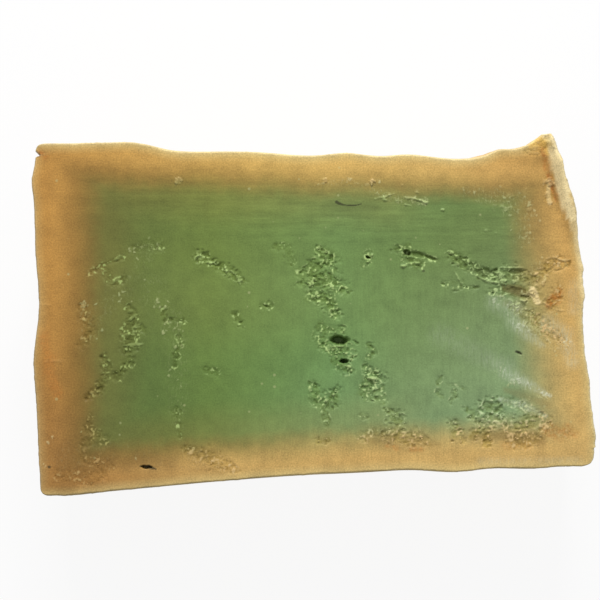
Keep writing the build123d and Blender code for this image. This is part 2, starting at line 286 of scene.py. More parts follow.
CRUMBS_UP = {
    "big crumb": [
        (534.5, 296.5, 4.6, 3.2, -60, 0.28), (532.5, 290.5, 3.6, 2.8, 30, 0.24),
        (538, 302, 4, 2.2, -35, 0.2), (524.5, 300.5, 5, 1.3, 0, 0.25),
    ],
    "clefts": [
        (500, 275, 5, 4.6, 0, 0.35), (504, 280.5, 6, 2, 12, 0.3), (513, 281, 3.5, 2.4, 30, 0.3),
        (514, 267.6, 11, 0.7, 0, 0.15), (480, 277.5, 6.5, 0.9, -28, 0.2), (492, 282, 6, 1, -4, 0.22),
    ],
    "right rind": [
        (548, 275, 3.4, 1.8, 40, 0.14), (542, 283, 3.8, 2.2, 20, 0.16), (535, 274, 3, 1.8, 0, 0.14),
    ],
    "ridge and lobe": [
        (457, 275.5, 8.5, 0.8, -62, 0.12), (466, 251.5, 2.2, 1.8, 0, 0.3),
        (451, 252.5, 2.2, 1.6, 0, 0.25), (457, 257, 2.4, 1.6, -30, 0.25), (458, 263, 2.4, 2, 0, 0.25),
    ],
    "lone pit": [(371.6, 255.6, 1.7, 1.5, 0, 0.3), (368.5, 261.5, 2.4, 0.9, 10, 0.2)],
    "open holes": [
        (341, 346.2, 4.5, 0.9, 0, 0.25), (332, 348, 3.4, 2.2, -10, 0.3), (346, 366, 5, 1.2, -15, 0.25),
        (351.5, 359.5, 1.3, 1.3, 0, 0.3),
    ],
    "below the open holes": [
        (373, 378.5, 5, 1.4, -5, 0.35), (377, 371.5, 3, 1.2, -20, 0.25),
        (366, 384, 2.4, 1.6, 0, 0.25),
    ],
    "fork": [(333.5, 395, 1.4, 1.4, 0, 0.3), (327, 400, 1.6, 1.3, 0, 0.3)],
    "left cluster": [
        (133, 344.8, 9, 1.4, 4, 0.12), (130, 311, 4, 1.4, 20, 0.12), (133.5, 317, 6.5, 1.3, 36, 0.12),
    ],
    "diagonal": [
        (198, 256, 4.4, 2.4, -20, 0.18), (209, 263, 4.4, 2.2, -40, 0.18), (228, 270, 4.4, 2.4, -30, 0.18),
        (239, 280, 4.4, 2.2, -45, 0.18),
    ],
    "top rind": [
        (371.7, 182, 2.6, 2.4, 0, 0.25), (325.5, 181, 2.6, 1.8, 30, 0.16),
        (402.5, 185, 1.8, 1.6, 0, 0.16),
    ],
    "upper row": [
        (381, 197.5, 5, 1.2, 12, 0.16), (385, 200, 3, 1, -20, 0.14),
        (392, 194.5, 4, 0.9, 15, 0.14), (408, 198, 6, 1, -6, 0.16),
        (418, 199.7, 5, 1, -15, 0.16), (424.5, 202, 3, 1, -20, 0.14),
        (407, 205, 3, 0.9, -10, 0.12), (398, 201, 4, 0.9, 0, 0.12), (443, 209.7, 2.2, 1.2, 10, 0.14),
        (416.7, 192.5, 2, 1.3, 0, 0.1),
    ],
    "left flakes": [
        (136, 326, 5.5, 1.1, 28, 0.1), (128, 334, 5, 1.4, 10, 0.1), (126, 365, 4.5, 1.2, 65, 0.1),
        (104, 377, 5.5, 1.2, 75, 0.1), (93, 392, 6, 1.2, 8, 0.1), (120, 257, 5, 1.6, 25, 0.1),
        (114, 281, 5.5, 1.6, 15, 0.1),
    ],
    "lines in the left rind": [(57, 361, 10, 1.4, 6, 0.06), (44, 305, 8, 0.7, 0, 0.06)],
    "crumb in the top rind": [(177, 181.5, 3.6, 2.2, 30, 0.14)],
    "big cluster": [
        (312, 283, 2.6, 2, 30, 0.3), (315, 279.6, 2.4, 1.2, -30, 0.25),
        (325.5, 251.5, 2.8, 2, -20, 0.2), (331, 264.5, 2, 1.2, 0, 0.3),
        (331.5, 309.5, 1.4, 1.4, 0, 0.3),
    ],
    "foot of the lip": [
        (549, 182, 4.4, 3.2, 0, 0.2), (548.5, 194, 5, 2.4, 85, 0.16), (550, 202, 5, 2.8, 70, 0.16),
    ],
    "upper right": [
        (483, 192, 2.4, 1.2, -70, 0.05), (493.5, 206.5, 2.6, 1.3, -30, 0.07),
        (502, 206.5, 2.8, 1.1, 10, 0.06), (510, 196, 2.8, 2, 0, 0.06),
        (523.5, 191.5, 3.2, 2.2, 40, 0.06), (486, 231, 1.5, 1.3, 0, 0.07), (496, 233, 1.6, 1, 0, 0.05),
        (530, 209, 4, 1.6, 20, 0.05), (526, 235, 6, 1.2, -30, 0.04),
    ],
    "ledge of the lip": [(533, 153, 6.5, 1.6, 0, 0.08)],
    "slot": [(404, 266, 3, 1.6, 0, 0.25), (416, 262, 4, 1.2, -15, 0.2)],
    "lower streak": [(530, 408, 6, 1.4, -25, 0.1)],
    "rusty patch": [(549, 306, 8, 0.9, -32, 0.12), (561, 310.5, 7, 0.6, -5, 0.08)],
    "crack": [
        (551, 258, 4.5, 1, 8, 0.12), (560, 259.5, 3.2, 1.4, -20, 0.16), (566, 260, 2.6, 1.3, 0, 0.14),
    ],
}

# Marks on the face, each kind by its look: strength, then x, y and half width along a path

DARK = {
    "scratch": (1.0, [
        (336.5, 202, 2.2), (339, 203.5, 2.0), (344, 205, 1.0), (355, 205.5, 0.9), (361, 204, 0.7),
    ]),
    "smear round the scratch": (0.18, [(334, 205, 7), (350, 207, 8), (374, 208, 6)]),
    "slit": (1.0, [(140, 466, 1.0), (149, 467, 2.4), (156, 469, 1.0)]),
    "nick": (1.0, [(516.5, 351.5, 1.8), (519, 352.5, 1.6), (521.5, 354, 1.0)]),
    "dot": (0.9, [(49, 467, 2), (49.5, 467, 2)]),
    # Painted shade in the slot and along its upper edge
    "slot": (0.3, [(404, 252, 3), (410, 253, 3)]),
    "upper edge of the slot": (0.35, [(411, 250, 0.8), (424, 253.5, 1.0), (438, 259, 1.2)]),
    "dot under the slot": (0.8, [(423, 271, 1.3), (424, 271, 1.3)]),
    "crack": (0.4, [(553, 261, 0.7), (559, 265, 0.8), (562, 269, 1.0), (557, 270, 0.7)]),
    "arm of the crack": (0.4, [(562, 269, 0.8), (566, 266, 0.7), (570, 263, 0.5)]),
    "brown band": (0.35, [(507, 288, 4), (518, 291, 5), (528, 296, 4)]),
    # Painted shade in the depths of the clefts
    "depth of the cleft": (0.2, [(473, 270, 3), (485, 274, 4), (496, 270, 2.5)]),
    "second cleft": (0.15, [(505, 271, 3), (523, 271, 3)]),
    # Painted shadow the lip casts into the crease at its foot
    "crease of the lip": (0.2, [
        (543, 155, 1.4), (546, 165, 1.4), (549, 178, 1.4), (554, 192, 1.4), (557, 202, 1.0),
    ]),
}
# Whitish streaks: partly soap dried whitish along the knife's drag, partly painted sheen on the ridges it
# left
DRIED_AND_SHEEN = {
    "under the cleft": (0.75, [(514, 322, 13), (526, 334, 9), (543, 346, 4)]),
    "left of that": (0.6, [(494, 302, 13), (514, 312, 15)]),
    "wide streak": (0.25, [(440, 335, 18), (490, 360, 16), (525, 382, 9)]),
    "right rind": (0.6, [(548, 322, 12), (566, 334, 12), (572, 362, 12)]),
    "right edge": (0.4, [(574, 285, 9), (574, 310, 10)]),
    "lower edge": (0.3, [(480, 461, 6), (580, 460, 6)]),
    "upper streak": (0.85, [(506, 372, 12), (528, 384, 8), (550, 396, 3)]),
    "left of the upper streak": (0.45, [(488, 360, 13), (506, 367, 15)]),
    "lower streak": (0.9, [(500, 399, 4), (525, 406, 6), (546, 416, 3)]),
}
STAIN = {
    "slit": (0.5, [(128, 462, 9), (152, 461, 12), (170, 466, 8)]),
    "beside the slit": (0.3, [(200, 470, 8), (236, 470, 8)]),
    "lower left corner": (0.65, [(50, 440, 14), (75, 470, 20), (110, 455, 14), (60, 490, 14)]),
    "lower right": (1.0, [(478, 436, 10), (515, 438, 12), (540, 440, 10)]),
    "lower middle": (0.6, [(370, 438, 8), (405, 442, 10), (440, 444, 7)]),
    "below the cleft": (1.0, [(506, 288, 8), (530, 294, 7)]),
    "speckled band": (0.45, [(506, 303, 8), (524, 313, 11), (542, 325, 10), (560, 338, 6)]),
    "between the streaks": (0.6, [(505, 390, 4), (530, 398, 6), (550, 406, 5)]),
}
# The yellow at the lip's tip is partly its crumbs' own colour, partly painted light that makes up for the
# shade on its slope
YELLOW = {"tip of the lip": (1.0, [(531, 146, 4), (538, 143, 7), (545, 144, 7), (546, 152, 4)])}
ORANGE = {
    "right rind": (1.0, [(548, 305, 7), (555, 299, 8), (559, 291, 6)]),
    "lower right": (0.55, [(548, 430, 10), (564, 432, 10), (576, 434, 6)]),
    "under the clusters": (0.3, [(505, 446, 6), (530, 446, 6)]),
    "lower middle": (0.5, [(387, 446, 5), (396, 448, 4)]),
    "right of that": (0.5, [(411, 450, 4), (421, 449, 4)]),
    # Painted shadow the lip casts into the crease at its foot, in the same orange as the rusty marks
    "foot of the lip": (0.9, [(543, 150, 3.5), (545, 163, 3), (549, 176, 3), (552, 186, 3), (556, 200, 3)]),
    "tip of the lip": (0.25, [(538, 142, 3), (542, 147, 3)]),
    "notch": (0.9, [(41, 153, 4), (46, 157, 3)]),
    "left rind": (0.5, [(44, 335, 10), (50, 375, 10), (58, 395, 6)]),
}
# The pale strip along the lip's torn side and at its tip is partly the rind's own pale colour, partly painted
# light that makes up for the shade on the lip's slopes
PALE = {
    "torn side of the lip": (1.0, [
        (550, 142, 6), (555, 160, 7), (560, 182, 7), (567, 206, 6.5), (572, 218, 5),
    ]),
    "below it": (0.5, [(572, 218, 5), (577, 240, 3)]),
    "right edge": (0.45, [(577, 240, 5), (583, 262, 7), (587, 285, 8), (588, 310, 7)]),
    "tip of the lip": (0.6, [(545, 138, 4), (550, 141, 6), (553, 148, 6)]),
    "crumbs at the lip": (0.4, [(549, 182, 3.4), (548, 194, 2.5), (550, 203, 3)]),
    "big crumb": (0.75, [(532.5, 289.5, 3.6), (534.5, 296, 4.4), (538, 302, 3.6)]),
}
SPECKLED = {
    "upper right": (0.65, [(465, 192, 9), (500, 200, 16), (522, 212, 22), (522, 238, 14)]),
    "upper middle": (1.0, [(372, 190, 5), (400, 200, 7), (425, 202, 6)]),
    "top rind": (0.7, [(320, 182, 6), (350, 184, 7), (376, 182, 6)]),
    "right": (1.0, [(505, 302, 14), (522, 316, 20), (545, 336, 16), (566, 345, 8)]),
    "left middle": (0.3, [(150, 290, 24), (170, 320, 26), (178, 360, 16), (178, 420, 14)]),
    "lower streaks": (1.0, [(500, 372, 12), (530, 388, 10), (548, 396, 6), (520, 404, 10), (538, 414, 8)]),
    "right rind": (0.5, [(540, 270, 16), (560, 262, 12)]),
    "lower left": (0.12, [(60, 460, 30), (110, 450, 24), (200, 460, 24)]),
    "left rind": (0.5, [(84, 305, 6), (86, 320, 8), (88, 338, 8)]),
    "left": (0.25, [(150, 250, 16), (120, 290, 16), (90, 330, 16)]),
    "smear at the left": (0.6, [(130, 250, 6), (146, 245, 6), (162, 248, 5)]),
}


def place(px, py):
    return (px - MIDDLE_X) * PIXEL, (MIDDLE_Y - py) * PIXEL


# Seeded draws and noise from the whole numbers of a cell

MIX_X = 374761393
MIX_Y = 668265263
MIX_SEED = 144269504
MIX_AGAIN = 1274126177
WORD = 0xFFFFFFFF
PARTS = 0xFFFFFF


def chance(ix, iy, seed):
    n = (ix.astype(np.int64) * MIX_X + iy.astype(np.int64) * MIX_Y + seed * MIX_SEED) & WORD
    n = ((n ^ (n >> 13)) * MIX_AGAIN) & WORD
    return ((n ^ (n >> 16)) & PARTS) / PARTS


def noise(x, y, size, seed):
    ix = np.floor(x / size)
    iy = np.floor(y / size)
    fx = x / size - ix
    fy = y / size - iy
    fx = fx * fx * (3 - 2 * fx)
    fy = fy * fy * (3 - 2 * fy)
    low = chance(ix, iy, seed) * (1 - fx) + chance(ix + 1, iy, seed) * fx
    high = chance(ix, iy + 1, seed) * (1 - fx) + chance(ix + 1, iy + 1, seed) * fx
    return low * (1 - fy) + high * fy


def layered(x, y, *layers):
    return sum(weight * noise(x, y, size, seed) for size, seed, weight in layers)


def wobble(x, y, *layers):
    return sum(weight * (noise(x, y, size, seed) - 0.5) for size, seed, weight in layers)


def step(low, high, value):
    t = np.clip((value - low) / (high - low), 0, 1)
    return t * t * (3 - 2 * t)


def stroke(path, x, y):
    best = np.full(x.shape, -9.0)
    for (ax, ay, ar), (bx, by, br) in zip(path, path[1:]):
        ax, ay = place(ax, ay)
        bx, by = place(bx, by)
        long = max((bx - ax) ** 2 + (by - ay) ** 2, 1e-9)
        t = np.clip(((x - ax) * (bx - ax) + (y - ay) * (by - ay)) / long, 0, 1)
        away = np.hypot(x - ax - t * (bx - ax), y - ay - t * (by - ay))
        best = np.maximum(best, 1 - away / ((ar + (br - ar) * t) * PIXEL))
    return best


def marks(paths, x, y, soft, shift=0.0):
    layers = [strength * step(0.0, soft, stroke(path, x, y) + shift) for strength, path in paths.values()]
    return np.max(layers, axis=0)


def torn_at(x, y):
    best = np.full(x.shape, -9.0)
    deep = np.zeros(x.shape)
    for torn_deep, path in TORN.values():
        inside = stroke(path, x, y)
        deep = np.where(inside > best, torn_deep, deep)
        best = np.maximum(best, inside)
    return best, deep


def nearest_chip(x, y, size, seed):
    ix = np.floor(x / size)
    iy = np.floor(y / size)
    first = np.full(x.shape, 9.0)
    second = first.copy()
    own_x, own_y, mid_x, mid_y = (np.zeros(x.shape) for _ in range(4))
    for dx in (-1, 0, 1):
        for dy in (-1, 0, 1):
            cx = ix + dx + 0.5 + 0.9 * (chance(ix + dx, iy + dy, seed) - 0.5)
            cy = iy + dy + 0.5 + 0.9 * (chance(ix + dx, iy + dy, seed + 1) - 0.5)
            away = np.hypot(x / size - cx, y / size - cy)
            nearer = away < first
            second = np.where(nearer, first, np.minimum(second, away))
            first = np.where(nearer, away, first)
            own_x = np.where(nearer, ix + dx, own_x)
            own_y = np.where(nearer, iy + dy, own_y)
            mid_x = np.where(nearer, cx * size, mid_x)
            mid_y = np.where(nearer, cy * size, mid_y)
    return own_x, own_y, mid_x, mid_y, second - first


def blurred(values, times, stride=1):
    inner = slice(stride, -stride)
    for _ in range(times):
        p = np.pad(values, stride, mode="edge")
        beside = p[inner, : -2 * stride] + p[inner, 2 * stride :]
        values = (p[: -2 * stride, inner] + p[2 * stride :, inner] + beside + 2 * values) / 6
    return values


# Outline of the cut face, from rays shot inwards at the solid

mesh = bar.data
tree = BVHTree.FromPolygons([v.co / MM for v in mesh.vertices], [tuple(p.vertices) for p in mesh.polygons])


def shoot_inwards(way_x, way_y, z):
    start = Vector((way_x * RAY_START, way_y * RAY_START, z))
    return tree.ray_cast(start, Vector((-way_x, -way_y, 0)), RAY_LENGTH)[0]


ring = []
for i in range(OUTLINE_RAYS):
    turn = 2 * np.pi * i / OUTLINE_RAYS
    way = (np.cos(turn), np.sin(turn))
    hits = [shoot_inwards(*way, level) for level in OUTLINE_LEVELS]
    far_out = [hit.xy for hit in hits if hit is not None and hit.xy.dot(way) > OUTLINE_LEAST]
    ring.append(max(far_out, key=lambda p: p.dot(way)))
ring = np.array(ring)
edge_x, edge_y = place(*np.array(RIGHT_EDGE[::-1]).T)
tip_x, tip_y = place(*np.array(TIP_EDGE).T)
beside_lip = (ring[:, 0] > tip_x[-1] - 1) & (ring[:, 1] > edge_y[0])
ring[beside_lip, 0] = np.maximum(ring[beside_lip, 0], np.interp(ring[beside_lip, 1], edge_y, edge_x))
atop = (ring[:, 0] > tip_x[0]) & (ring[:, 0] < tip_x[-1]) & (ring[:, 1] > tip_y[0] - 2)
ring[atop, 1] = np.maximum(ring[atop, 1], np.interp(ring[atop, 0], tip_x, tip_y))


def side(start, end, count, ragged_by):
    part = np.roll(ring, -start, axis=0)[: (end - start) % len(ring) + 1]
    run = np.concatenate(([0], np.cumsum(np.hypot(*np.diff(part, axis=0).T))))
    at = np.linspace(0, run[-1], count + 1)
    line = np.stack((np.interp(at, run, part[:, 0]), np.interp(at, run, part[:, 1])), axis=1)
    along = np.gradient(line, axis=0)
    along /= np.hypot(*along.T)[:, None]
    inward = np.stack((-along[:, 1], along[:, 0]), axis=1)
    ragged = layered(*line.T, *NIBBLES)
    line += inward * (ragged_by * ragged * np.minimum(1, np.minimum(at, run[-1] - at)))[:, None]
    return line


lower_left = np.argmax(-ring[:, 0] - ring[:, 1])
lower_right = np.argmax(ring[:, 0] - ring[:, 1])
upper_right = np.argmax(ring[:, 0] + ring[:, 1])
upper_left = np.argmax(ring[:, 1] - ring[:, 0])
bottom = side(lower_left, lower_right, COLUMNS, RAGGED["bottom"])
right = side(lower_right, upper_right, ROWS, RAGGED["right"])
top = side(upper_right, upper_left, COLUMNS, RAGGED["top"])[::-1]
left = side(upper_left, lower_left, ROWS, RAGGED["left"])[::-1]

# Grid over the cut face between the four sides


def smoothed(line):
    line = line.copy()
    for _ in range(SIDE_EVENING):
        line[1:-1] = (line[:-2] + 2 * line[1:-1] + line[2:]) / 4
    return line


u = np.linspace(0, 1, COLUMNS + 1)[None, :, None]
v = np.linspace(0, 1, ROWS + 1)[:, None, None]
even_bottom, even_top, even_left, even_right = (smoothed(line) for line in (bottom, top, left, right))
flat = (1 - v) * even_bottom[None] + v * even_top[None]
flat += (1 - u) * even_left[:, None] + u * even_right[:, None]
flat -= (1 - u) * (1 - v) * bottom[0] + u * (1 - v) * bottom[-1] + (1 - u) * v * top[0] + u * v * top[-1]
flat += (1 - v) ** FADE_UP * (bottom - even_bottom)[None] + v**FADE_UP * (top - even_top)[None]
flat += (1 - u) ** FADE_ACROSS * (left - even_left)[:, None] + u**FADE_ACROSS * (right - even_right)[:, None]
x = flat[:, :, 0]
y = flat[:, :, 1]
sides = {"left": left[:, None], "right": right[:, None], "bottom": bottom[None], "top": top[None]}
to_side = {name: np.hypot(x - line[..., 0], y - line[..., 1]) for name, line in sides.items()}

# Heights: the lip of the solid, then chips, pits, crumbs, knife waves and worn edges

lip = np.zeros(x.shape)
for r, c in np.argwhere((x > LIP_CORNER[0]) & (y > LIP_CORNER[1])):
    above_it = Vector((x[r, c] * LIP_DRAWN_IN, y[r, c] * LIP_DRAWN_IN, RAY_TOP))
    hit = tree.ray_cast(above_it, Vector((0, 0, -1)))[0]
    lip[r, c] = 0 if hit is None else max(hit.z - FACE, 0)
lip *= 1 - LIP_THINS * step(0.0, LIP_SOFT, stroke(LIP_LOW, x, y))
lip = blurred(lip, LIP_BLUR)
foot = step(0.0, LIP_SOFT, stroke(LIP_FOOT, x, y))
lip = lip * (1 - foot) + blurred(lip, FOOT_BLUR, FOOT_STRIDE) * foot

reach, depth = torn_at(x, y)
torn = step(-0.3, 0.4, reach)
uneven = wobble(x, y, *UNEVEN)
open_floor = step(0.42, 0.6, layered(x, y, *OPEN_FLOOR))
floor_in = step(-0.1, 0.5, reach + uneven) * (0.25 + 0.75 * open_floor)
floor_in *= np.clip(depth / 0.6, 0.0, 1.0) * (0.5 + 0.5 * step(-22, -4, x))
rough = np.zeros(x.shape)
near = np.nonzero(reach > -1.5)
near_x, near_y = x[near], y[near]
bend_x = noise(near_x, near_y, 0.45, 95) - 0.5
bend_y = noise(near_x, near_y, 0.45, 96) - 0.5
for size, share, inside, seed in CHIPS.values():
    bent_x = near_x + CHIP_BEND * bend_x * size
    bent_y = near_y + CHIP_BEND * bend_y * size
    own_x, own_y, mid_x, mid_y, gap = nearest_chip(bent_x, bent_y, size, seed)
    covered, deep = torn_at(mid_x, mid_y)
    covered += wobble(mid_x, mid_y, (1.5, seed + 2, 0.9))
    loose = step(inside - 0.45, inside + 0.6, covered) > chance(own_x, own_y, seed + 3)
    drop = LEAST_DROP + MORE_DROP * chance(own_x, own_y, seed + 4) ** DROP_POWER
    drop = np.where(chance(own_x, own_y, seed + 5) > SINKING, -STANDING_BY, drop)
    lean = (chance(own_x, own_y, seed + 6) - 0.5) * (near_x - mid_x)
    lean += (chance(own_x, own_y, seed + 7) - 0.5) * (near_y - mid_y)
    crack = CRACK_DEPTH * step(CRACK_WIDTH, 0.0, gap)
    rough[near] -= np.where(loose, deep * share * (drop + CHIP_LEAN * lean + crack), 0)
rough = blurred(rough, 1)

hole_edge = wobble(x, y, *HOLE_EDGE)
crumb_edge = wobble(x, y, *CRUMB_EDGE)


def within(x, y, oval, ragged):
    px, py, half_long, half_wide, turn = oval
    mx, my = place(px, py)
    ct, st = np.cos(np.radians(turn)), np.sin(np.radians(turn))
    along = ((x - mx) * ct + (y - my) * st) / (half_long * PIXEL)
    across = (-(x - mx) * st + (y - my) * ct) / (half_wide * PIXEL)
    return np.hypot(along, across) + ragged


def ovals(groups):
    return [oval for group in groups.values() for oval in group]


own_x, own_y, mid_x, mid_y, gap = nearest_chip(x + 0.3 * hole_edge, y + 0.3 * crumb_edge, FLAKE, 141)
clumps = step(0.5, 0.72, noise(mid_x, mid_y, 1.6, 144))
flaky = chance(own_x, own_y, 142) < FLAKE_SHARE * clumps * marks(SPECKLED, mid_x, mid_y, 0.8)
flakes = flaky * step(0.02, 0.3, gap) * (0.5 + 0.5 * chance(own_x, own_y, 143))
pits = np.zeros(x.shape)
bits = np.zeros(x.shape)
for *oval, deep in ovals(OPEN_HOLES):
    inside = within(x, y, oval, OPEN_HOLE_RAGGED * hole_edge)
    pits = np.minimum(pits, -deep * step(*OPEN_HOLE_SIDE, inside))
for *oval, deep in ovals(HOLES):
    pits = np.minimum(pits, -deep * step(*HOLE_SIDE, within(x, y, oval, hole_edge)))
for *oval, tall in ovals(CRUMBS_UP):
    if oval[3] > BROAD:
        inside = within(mid_x, mid_y, oval, 0.4 * (chance(own_x, own_y, 145) - 0.5))
        lump_at = tall * step(*BROAD_SIDE, inside) * (0.6 + 0.4 * step(0.0, 0.3, gap))
        lump_at *= 0.7 + 0.3 * chance(own_x, own_y, 146)
    else:
        lump_at = tall * step(*CRUMB_SIDE, within(x, y, oval, crumb_edge))
    bits = np.maximum(bits, lump_at)
bits *= 0.45 + 0.75 * step(0.15, 0.75, noise(x, y, 0.5, 45))
waves = wobble(x, y, WAVES) + wobble(x, y * KNIFE_Y_SCALE, KNIFE_WAVES)
worn = np.zeros(x.shape)
for name, away in to_side.items():
    size = ROUNDING[name] * (0.7 + 0.6 * noise(x, y, 3.0, 61))
    worn = np.maximum(worn, size * (1 - np.sqrt(np.clip(1 - np.clip(1 - away / size, 0, 1) ** 2, 0, 1))))
dug = np.minimum(rough, pits + 0.3 * rough)
edges = np.minimum(rough, 0.6 * np.maximum(pits, -0.25) * torn + 0.3 * rough)
floor_in = np.maximum(floor_in, np.clip(-pits / 0.2, 0, 1))
detail = dug + np.maximum(bits, FLAKE_HEIGHT * flakes)
height = FACE + lip + detail + waves - worn
dark = marks(DARK, x, y, 0.5)

# Mesh of the face: whole cells where it is smooth, cut cells where it is torn and along the edge

busy = (np.abs(rough) > BUSY["rough"]) | (pits < -BUSY["pits"]) | (bits > BUSY["bits"])
busy |= (dark > BUSY["dark"]) | (flakes > BUSY["flakes"])
cut = np.zeros((CELLS_UP, CELLS_ACROSS), bool)
for r in range(FINER + 1):
    for c in range(FINER + 1):
        cut |= busy[r : r + ROWS : FINER, c : c + COLUMNS : FINER]
cut[[0, -1]] = True
cut[:, [0, -1]] = True
used = np.zeros(x.shape, bool)
used[::FINER, ::FINER] = True
for r, c in np.argwhere(cut) * FINER:
    used[r : r + FINER + 1, c : c + FINER + 1] = True
number = np.cumsum(used).reshape(used.shape) - 1
corners = np.stack((number[:-1, :-1], number[:-1, 1:], number[1:, 1:], number[1:, :-1]), axis=2)
faces = corners[np.kron(cut, np.ones((FINER, FINER), bool))].tolist()
for r, c in np.argwhere(~cut) * FINER:
    around = [(r, c + i) for i in range(FINER)] + [(r + i, c + FINER) for i in range(FINER)]
    around += [(r + FINER, c + FINER - i) for i in range(FINER)] + [(r + FINER - i, c) for i in range(FINER)]
    faces.append([int(number[corner]) for corner in around if used[corner]])
surface = np.stack((x, y, height), axis=2)
points = [surface[used]]

# Walls and underside

rim_loop = np.concatenate((number[0, :-1], number[:-1, -1], number[-1, :0:-1], number[:0:-1, 0]))
posts = rim_loop[::FINER]
rim_loop = np.append(rim_loop, rim_loop[0])
post_points = points[0][posts]
turns = np.maximum.accumulate(np.unwrap(np.arctan2(post_points[:, 1], post_points[:, 0])))
gaps = np.diff(np.append(turns, turns[0] + 2 * np.pi))
for _ in range(POST_EVENING):
    gaps = (np.roll(gaps, 1) + 2 * gaps + np.roll(gaps, -1)) / 4
turns = turns[0] + np.concatenate(([0], np.cumsum(gaps[:-1])))
outward = np.stack((np.cos(turns), np.sin(turns)), axis=1)
above = None
for level in WALL_LEVELS:
    wall = []
    for (post_x, post_y, _), way in zip(post_points, outward):
        hit = shoot_inwards(*way, max(level, LOWEST_RAY))
        wall.append((post_x, post_y, level) if hit is None else (hit.x, hit.y, level))
    below = sum(len(p) for p in points) + np.arange(len(posts))
    points.append(np.array(wall))
    after = np.roll(below, -1)
    if above is None:
        for i in range(len(posts)):
            run = rim_loop[i * FINER : (i + 1) * FINER + 1][::-1]
            faces.append(run.tolist() + [int(below[i]), int(after[i])])
    else:
        faces += list(zip(np.roll(above, -1).tolist(), above.tolist(), below.tolist(), after.tolist()))
    above = below
faces.append(above[::-1].tolist())
skin_mesh = bpy.data.meshes.new("soap_skin")
skin_mesh.from_pydata((np.concatenate(points) * MM).tolist(), [], faces)
skin_mesh.shade_smooth()
skin = bpy.data.objects.new("soap_skin", skin_mesh)
scene.collection.objects.link(skin)

# What is painted on the face of the skin, and elsewhere, which is its walls and underside

BAND_SHARES = {"left": 0.45, "right": 1, "bottom": 1, "top": 1}
BAND_WIDTH = 1.7
RIM_SHARES = {"left": 0.4, "right": 1, "bottom": 0.3, "top": 0.7}
RIM_WIDTH = 0.5
ELSEWHERE = {"band": 0.2, "rim": 0.1}
FULL_AT = {"bits": 0.25, "sunken": 0.5, "hollow": 1.6}
SHADE_BOTTOM = (0.32, 0.1)
SHADE_LEFT = (0.22, 0.08)
CREST_BLUR = 6
CREST_HEIGHT = 0.075


def attribute(data, name, values, elsewhere=0.0):
    full = np.full(len(data.vertices), elsewhere)
    full[: values.size] = values.ravel()
    data.attributes.new(name, "FLOAT", "POINT").data.foreach_set("value", full)


def along_sides(shares, width):
    return np.max([share * step(width, 0.0, to_side[name]) for name, share in shares.items()], axis=0)


# Crest: above the blurred height for painted highlight on broken edges, below it for painted shade at their
# feet; grains add the soap's own pale and dark specks
crest_at = np.clip((edges - blurred(edges, CREST_BLUR)) / (CREST_HEIGHT * np.clip(depth, 0.3, 0.6)), -1, 1)
broken = (0.25 + 0.75 * step(0.3, 0.65, noise(x, y, 0.9, 73))) * (1.15 - 0.6 * open_floor)
crest_at = np.where(crest_at > 0, crest_at * broken, crest_at)
grains = wobble(x, y, *GRAINS) + 0.12 - 0.2 * open_floor
grains *= step(0.0, 0.45, reach + uneven) * np.clip(depth / 0.35, 0.2, 1)
crest_at = np.clip(0.75 * crest_at + grains, -1, 1)
broken_line = 0.4 + 0.6 * noise(x, y, 1.3, 72)
shade = np.maximum(step(*SHADE_BOTTOM, to_side["bottom"]), 0.5 * step(*SHADE_LEFT, to_side["left"]))
# Crest, sunken and hollow carry painted highlight and shade in the torn places; floor carries painted shade
# along with the floors' own darker colour
painted_on = {
    "band": along_sides(BAND_SHARES, BAND_WIDTH),
    "rim": along_sides(RIM_SHARES, RIM_WIDTH),
    "shade": shade * broken_line,
    "bits": np.clip(bits / FULL_AT["bits"], 0, 1),
    "crest": crest_at,
    "sunken": np.clip(-rough / FULL_AT["sunken"], 0, 1),
    "torn": torn,
    "floor": floor_in,
    "flake": flakes,
    "hollow": np.clip(-pits, 0, FULL_AT["hollow"]) / FULL_AT["hollow"],
    "dark": dark,
    "dried_and_sheen": marks(DRIED_AND_SHEEN, x, y, 0.9),
    "orange": marks(ORANGE, x, y, 0.8, wobble(x, y, (1.2, 82, 0.7))),
    "yellow": marks(YELLOW, x, y, 0.8, wobble(x, y, (0.8, 83, 0.6))),
    "pale": marks(PALE, x, y, 0.4, wobble(x, y, (0.6, 84, 0.4))),
    "speckled": marks(SPECKLED, x, y, 0.8),
    "stain": marks(STAIN, x, y, 0.9, wobble(x, y, (1.8, 81, 0.8))),
}
for name, values in painted_on.items():
    attribute(skin_mesh, name, values[used], ELSEWHERE.get(name, 0.0))

# Loose crumbs in the torn places

CRUMBS = 300
CRUMB_SIZES = (0.05, 0.15)
CRUMB_SHAPE = (1.1, 1.1, 0.6)
CRUMB_STRETCH = (0.6, 1.4)
CRUMB_CORNERS = (0.65, 1.25)
CRUMB_SHIFT = 0.1
CRUMB_LIFT = 0.2
CRUMB_TINTS = (0, 0.8)
STRAY = 0.0001
EDGE_ROOM = 1.0
dice = np.random.default_rng(5)
room = np.min(list(to_side.values()), axis=0) > EDGE_ROOM
odds = (np.clip(torn - 0.3, 0, 1) * np.clip(depth / 0.6 - 0.2, 0, 1) * room).ravel() + STRAY * room.ravel()
homes = surface.reshape(-1, 3)[dice.choice(odds.size, CRUMBS, p=odds / odds.sum())]
lump = bmesh.new()
bmesh.ops.create_icosphere(lump, subdivisions=1, radius=1)
lump_points = np.array([v.co for v in lump.verts])
lump_faces = np.array([[v.index for v in f.verts] for f in lump.faces])
lump.free()
crumb_points = []
crumb_faces = []
tints = []
